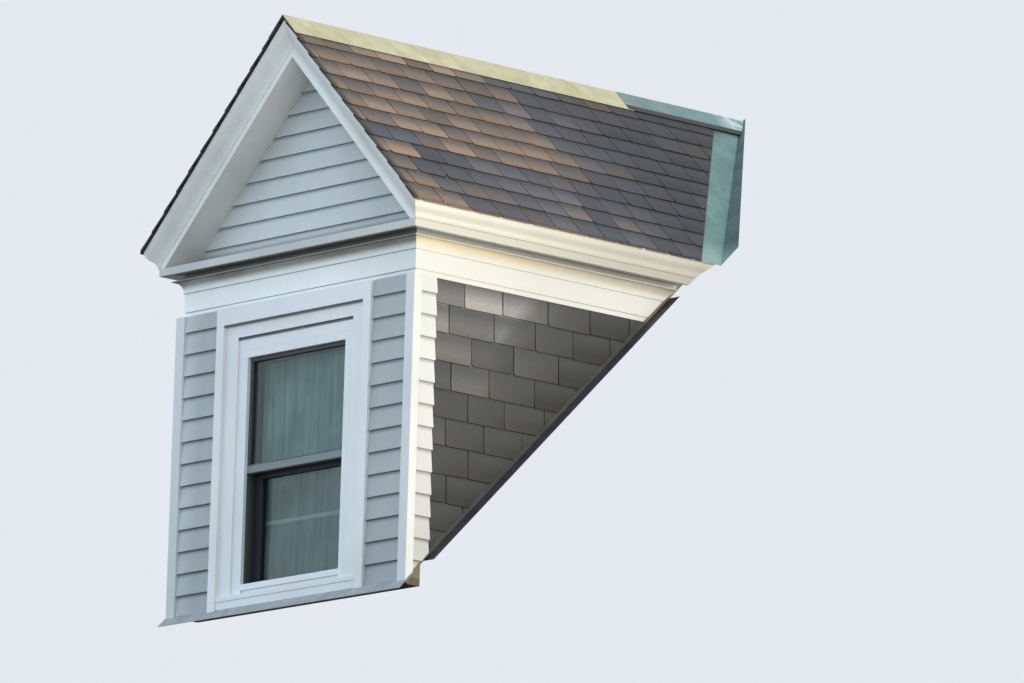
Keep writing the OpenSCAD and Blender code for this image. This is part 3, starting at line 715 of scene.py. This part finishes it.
def roof_shade(tree):
    """The roof is darker towards its back end, and along the open edge at the gable."""
    return fade(tree, (1, 1, 1), ("Y", -0.3, 2.3, (1.0, 1.0, 0.98, 0.88, 0.42, 0.36)),
                ("Y", slate_low.y + 0.016, slate_low.y + 0.044, (0.20, 1.0)))


roof_slate = slate_material(
    "roof slate",
    [(0.0, (0.074, 0.074, 0.092)), (0.4, (0.122, 0.102, 0.108)), (0.7, (0.208, 0.141, 0.102)),
     (1.0, (0.272, 0.180, 0.118))],
    roof_shade, up_roof, Vector((crown_x, 0, eave_z)).dot(up_roof) + first_tail, roof_course, 0.68,
)


def brown_share(middle):
    """How brown the roof is at a point: most of all near its front and its ridge."""
    depth = middle.y
    up_slope = (crown_x - abs(middle.x)) / math.cos(pitch)
    patch_back = 1.1 + 0.3 * math.exp(-((up_slope - 0.6) / 0.25) ** 2)
    patch_foot = 0.45 + 0.27 * math.exp(-(depth + 0.25) / 0.4)
    share, thinning = 0.12, 0.35
    if depth < patch_back and up_slope > patch_foot:
        share = 0.95 - 0.5 * max(0.0, (depth - patch_back + thinning) / thinning)
    gable_strip = -0.05 + 0.3 * math.exp(-up_slope / 0.12)
    if up_slope < 0.55 and depth < gable_strip:
        share = 0.85
    lone_depth, lone_up = 1.8, 1.37
    if abs(depth - lone_depth) < 0.12 and abs(up_slope - lone_up) < 0.08:
        share = 0.7
    first_course, course_end = 0.13, 0.9
    if up_slope < first_course and depth < course_end:
        share = max(share, 0.4)
    return share


for side, word in ((1, "right"), (-1, "left")):
    up = Vector((-side * math.cos(pitch), 0, math.sin(pitch)))
    out = Vector((side * math.sin(pitch), 0, math.cos(pitch)))
    corner = Vector((side * crown_x, slate_low.y, eave_z)) + up * first_tail
    top_of_valley = Vector((0, slate_high.y, 0))
    valley_line = Vector((side * slate_high.x, valley_low_y, 0)) - top_of_valley
    away = valley_line.cross(Vector((0, 0, -side))).normalized()
    cuts = (
        (slate_low, (0, -1, 0)),
        ((side * slate_high.x, 0, 0), (side, 0, 0)),
        (top_of_valley, away),
        ((0, 0, 0), (-side, 0, 0)),
    )
    rows = math.ceil((slope_length + roof_overhang) / roof_course)
    shape = slate_courses(
        "roof " + word, corner, (0, 1, 0), up, out, rows, slate_high.y - slate_low.y,
        roof_course, roof_slate_width, slate_heights, cuts,
    )
    made = piece_from(
        shape, "single_roof_slates_" + word, roof_slate, "roof_slate", "roof_slates_" + word
    )
    draw = random.Random("tone " + word)
    keep = 1.0 if side > 0 else 0.35  # fewer brown ones on the left
    mark(made.data, "tone", lambda middle: draw.random())
    mark(made.data, "warm",
         lambda middle: min(1.0, max(0.0, keep * brown_share(middle) + draw.gauss(0, 0.2))))

post_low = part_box("corner_posts")[0]
cheek_low, cheek_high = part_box("cheek_slates_right")
post_foot = Vector((0, post_low.y, post_low.z))
past_end = Vector((0, math.sin(back_pitch), -math.cos(back_pitch)))


def cheek_shade(tree):
    """The cheek is darker low down, and along its sloping end."""
    point = add_node(tree, "ShaderNodeTexCoord").outputs["Object"]
    end_line = -past_end.y * post_low.y
    from_end = reach_along(tree, point, tuple(-past_end))
    near_end = between(tree, from_end, end_line + 0.05, end_line + 0.55)
    near_end = ramp(
        tree, near_end, [(0.0, 0.09), (0.25, 0.13), (0.6, 0.25), (0.85, 0.52), (1.0, 1.2)]
    )
    low_down = between(tree, along_axis(tree, "Z"), 0.6, 1.45)
    low_down = ramp(tree, low_down, [(0.0, 0.21), (0.6, 0.345), (1.0, 1.15)])
    return sums(tree, "MINIMUM", near_end, low_down)


cheek_course, cheek_slate_width, cheek_depth = 0.144, 0.28, 1.75
let_in = 0.0015  # how deep the plane that the courses are laid from lies in the boards
cheek_slate = slate_material(
    "cheek slate",
    [(0.0, (0.215, 0.212, 0.215)), (0.5, (0.285, 0.275, 0.27)), (1.0, (0.335, 0.315, 0.295))],
    cheek_shade, (0, 0, 1), 0, cheek_course, 0.72,
)
for side, word in ((1, "right"), (-1, "left")):
    corner = Vector((side * (cheek_low.x - let_in), cheek_low.y, 0))
    cuts = (
        (cheek_low, (0, -1, 0)),
        (cheek_high, (0, 0, 1)),
        (post_foot, past_end),
    )
    rows = math.ceil(cheek_high.z / cheek_course)
    shape = slate_courses(
        "cheek " + word, corner, (0, 1, 0), (0, 0, 1), (side, 0, 0), rows, cheek_depth,
        cheek_course, cheek_slate_width, slate_heights, cuts,
    )
    made = piece_from(
        shape, "single_cheek_slates_" + word, cheek_slate, "cheek_slate", "cheek_slates_" + word
    )
    draw = random.Random("cheek tone " + word)
    mark(made.data, "tone", lambda middle: draw.random())
    mark(made.data, "warm", lambda middle: draw.random())

# Copper
# The ridge cap, valleys and flashings are folded sheet copper, most of it green. The
# front piece of the cap is yellow with lichen; the back one has pale patches at its
# end, a painted highlight, and painted shade along its lower edges.


def patina(name, base, pale, deep, front_shade=None):
    """A weathered copper skin in three tones; front_shade is for what faces the front."""
    made, tree, shader = material(name, 0.62)
    cloud = speckle(tree, place(tree), 5.0, 6, 0.65)
    runs = speckle(tree, place(tree, (11, 11, 4)), 1.0, 4, 0.6)
    body = mix(tree, ramp(tree, cloud, [(0.38, 0.0), (0.66, 1.0)]), base, pale)
    body = mix(tree, ramp(tree, runs, [(0.5, 0.0), (0.74, 0.6)]), body, deep)
    if front_shade:
        to_front = between(tree, facing(tree, "Y"), -0.2, -0.6)
        body = mix(tree, to_front, body, (front_shade,) * 3, "MULTIPLY")
    tree.links.new(body, shader.inputs["Base Color"])
    bump(tree, shader, speckle(tree, place(tree), 22.0, 5, 0.6), 0.0016, 0.6)
    return made


valley_coat = patina(
    "verdigris", (0.092, 0.180, 0.174), (0.150, 0.262, 0.248), (0.062, 0.124, 0.126), 0.55
)
valley_tree = valley_coat.node_tree
valley_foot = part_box("right_valley")[0].z
# A painted highlight: the valleys grow paler towards their foot.
valley_up = along_axis(valley_tree, "Z")
painted_highlight_foot = between(valley_tree, valley_up, valley_foot + 0.16, valley_foot + 0.05, 0.0, 0.5)
over(valley_coat, painted_highlight_foot, (0.33, 0.42, 0.40))
finish_node(valley_coat, "left_valley", "right_valley")

cap_low, cap_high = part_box("back_ridge_cap")
cap_coat = patina(
    "blue-grey ridge", (0.135, 0.19, 0.195), (0.21, 0.265, 0.265), (0.09, 0.125, 0.13)
)
cap_tree = cap_coat.node_tree
cap_depth = along_axis(cap_tree, "Y")
greener = between(cap_tree, cap_depth, cap_low.y + 0.2, cap_high.y - 0.2, 0.0, 0.8)
over(cap_coat, greener, (0.115, 0.225, 0.215))
# Pale patches near the cap's back end, a painted highlight.
pale_end_highlight = speckle(cap_tree, place(cap_tree), 14.0, 2)
pale_end_highlight = sums(cap_tree, "MULTIPLY", between(cap_tree, pale_end_highlight, 0.30, 0.60),
              between(cap_tree, cap_depth, cap_high.y - 0.24, cap_high.y - 0.12))
over(cap_coat, pale_end_highlight, (0.47, 0.53, 0.56))
# Painted shade along the lower edges of the cap's legs.
cap_out = sums(cap_tree, "ABSOLUTE", along_axis(cap_tree, "X"), 0.0)
cap_edge_shadow = between(cap_tree, cap_out, cap_high.x - 0.030, cap_high.x - 0.024)
over(cap_coat, cap_edge_shadow, (0.030, 0.032, 0.038))
finish_node(cap_coat, "back_ridge_cap")

for name, node, *tones in (
    ("yellow ridge", "front_ridge_cap",
     (0.43, 0.39, 0.22), (0.52, 0.485, 0.32), (0.32, 0.285, 0.16)),
    ("washed apron", "apron_flashing",
     (0.29, 0.30, 0.295), (0.38, 0.39, 0.385), (0.20, 0.205, 0.20)),
    ("dark step flashing", "step_flashings",
     (0.045, 0.048, 0.052), (0.075, 0.078, 0.082), (0.03, 0.03, 0.032)),
):
    finish_node(patina(name, *tones), node)

# Window
# A double-hung window of painted wood: white frame, dark jambs, two dark sashes and a
# grey meeting rail. The jambs are painted darker deeper in, as painted shade, and the
# sashes are near black, partly as painted shade in the window's recess. Each sash
# holds one pane of old glass in a groove of its frame.
upper_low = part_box("upper_sash")[0]
frame_coat = paint("frame paint", (0.80, 0.81, 0.81), trim_shade, 2)
frame_tree = frame_coat.node_tree
frame_depth = along_axis(frame_tree, "Y")
# The jambs' inner faces are dark, and painted darker deeper into the window, as painted shade;
# streaks vary them.
jamb_dark_and_shade = mix(
    frame_tree, between(frame_tree, frame_depth, upper_low.y + 0.019, upper_low.y + 0.044),
    (0.095, 0.118, 0.130), (0.030, 0.038, 0.040),
)
jamb_streaks = speckle(frame_tree, place(frame_tree, (40, 40, 2)), 1.0)
jamb_streaks = ramp(frame_tree, jamb_streaks, [(0.3, 0.75), (0.7, 1.2)])
jamb_dark_and_shade = mix(frame_tree, 1.0, jamb_dark_and_shade, jamb_streaks, "MULTIPLY")
over(frame_coat, between(frame_tree, frame_depth, upper_low.y, upper_low.y + 0.0005), jamb_dark_and_shade)
piece_from(eased("window_frame", 0.001), "frame_and_stops", frame_coat, "trim", "window_frame")

# The sashes are painted near black, partly as painted shade in the window's recess.
dark_coat, dark_tree, dark_shader = material("dark sash paint", 0.42)
worn = speckle(dark_tree, place(dark_tree, (30, 30, 3)), 1.0, 4)
dark_body = mix(dark_tree, worn, (0.012, 0.015, 0.019), (0.028, 0.032, 0.038))
dark_tree.links.new(dark_body, dark_shader.inputs["Base Color"])
bump(dark_tree, dark_shader, worn, 0.0005)
upper_coat, upper_tree, upper_shader = material("upper sash paint", 0.45)
streaks = speckle(upper_tree, place(upper_tree, (3, 40, 40)), 1.0, 4)
rail_grey = mix(upper_tree, streaks, (0.16, 0.19, 0.20), (0.26, 0.29, 0.30))
upper_dark = mix(upper_tree, streaks, (0.050, 0.062, 0.072), (0.075, 0.087, 0.096))
rail_top = upper_low.z + 0.038
above_rail = between(upper_tree, along_axis(upper_tree, "Z"), rail_top - 0.001, rail_top + 0.001)
upper_body = mix(upper_tree, above_rail, rail_grey, upper_dark)
upper_tree.links.new(upper_body, upper_shader.inputs["Base Color"])
bump(upper_tree, upper_shader, streaks, 0.0004)
piece_from(eased("upper_sash", coat_ease), "upper_sash_frame", upper_coat, "sash", "upper_sash")
piece_from(eased("lower_sash", coat_ease), "lower_sash_frame", dark_coat, "sash", "lower_sash")

pane_glass, pane_tree, pane_shader = material("old pane", 0.03)
pane_shader.inputs["Base Color"].default_value = (0.60, 0.82, 0.83, 1)
pane_shader.inputs["Transmission Weight"].default_value = 1.0
pane_shader.inputs["IOR"].default_value = 1.5
ripples = speckle(pane_tree, place(pane_tree, (3, 3, 1.5)), 1.0, 2)
bump(pane_tree, pane_shader, ripples, 0.002, 0.15)
finish_node(pane_glass, "window_panes")

# Net curtain and its rod
# A sheer net hangs inside the window from a dark rod at its head, gathered into soft
# upright folds. It has a seam across its lower half and ends just over the sill.
rod_coat, rod_tree, rod_shader = material("bronze enamel", 0.35)
rod_wear = speckle(rod_tree, place(rod_tree), 60.0, 4)
rod_body = mix(rod_tree, rod_wear, (0.050, 0.044, 0.038), (0.028, 0.026, 0.024))
rod_tree.links.new(rod_body, rod_shader.inputs["Base Color"])
finish_node(rod_coat, "curtain_rod")

net_low, net_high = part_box("net_curtain")
net_middle, net_height = (net_low + net_high) / 2, net_high.z - net_low.z
net_steps, net_rows = 240, 24
fold_width, pleat_width, fold_depth = 0.047, 0.031, 0.0048
net_shape = bmesh.new()
bmesh.ops.create_grid(net_shape, x_segments=net_steps, y_segments=net_rows, size=0.5)
bmesh.ops.rotate(net_shape, verts=net_shape.verts, matrix=Matrix.Rotation(math.pi / 2, 3, "X"))
bmesh.ops.scale(
    net_shape, verts=net_shape.verts, vec=(net_high.x - net_low.x, 1, net_height)
)
net_uv = net_shape.loops.layers.uv.new("cloth")
for face in net_shape.faces:
    for loop in face.loops:
        loop[net_uv].uv = (loop.vert.co.x, loop.vert.co.z)
for vert in net_shape.verts:
    drift = 0.012 * math.sin(vert.co.z * 2.3 + vert.co.x * 5)
    fold = math.sin((vert.co.x + drift) * 2 * math.pi / fold_width)
    fold += 0.45 * math.sin((vert.co.x - drift) * 2 * math.pi / pleat_width + 1.1)
    vert.co.y = net_middle.y + fold_depth * fold
bmesh.ops.translate(
    net_shape, verts=net_shape.verts, vec=(net_middle.x, 0, net_middle.z)
)
net_area = sum(f.calc_area() for f in net_shape.faces)
net_cloth, net_tree, net_shader = material("net", 0.9)
net_shader.inputs["Alpha"].default_value = 0.97
weave = speckle(net_tree, place(net_tree, (30, 30, 1.2)), 1.0, 4)
weave = ramp(net_tree, weave, [(0.30, 0.0), (0.70, 1.0)])
net_body = mix(net_tree, weave, (0.42, 0.55, 0.54), (0.88, 0.94, 0.92))
patches = ramp(net_tree, speckle(net_tree, place(net_tree), 4.5, 3), [(0.35, 0.82), (0.65, 1.12)])
net_body = mix(net_tree, 1.0, net_body, patches, "MULTIPLY")
# Painted shade: the net is darker below the meeting rail and towards its left side.
net_body = fade(net_tree, net_body, ("Z", upper_low.z - 0.10, upper_low.z + 0.05, (0.54, 1.0)),
                ("X", -0.1, 0.35, (0.88, 1.0)))
seam_foot, seam_top, seam_soft = 0.440, 0.460, 0.002
net_up = along_axis(net_tree, "Z")
seam = sums(net_tree, "MULTIPLY",
            between(net_tree, net_up, seam_foot - seam_soft, seam_foot + seam_soft),
            between(net_tree, net_up, seam_top + seam_soft, seam_top - seam_soft))
net_body = mix(net_tree, seam, net_body, (0.85, 0.80, 0.78))
net_tree.links.new(net_body, net_shader.inputs["Base Color"])
threads = speckle(net_tree, place(net_tree, source="UV"), 900.0, 1)
bump(net_tree, net_shader, threads, 0.0004)
net = piece_from(net_shape, "gathered_net", net_cloth, "curtain", "net_curtain")
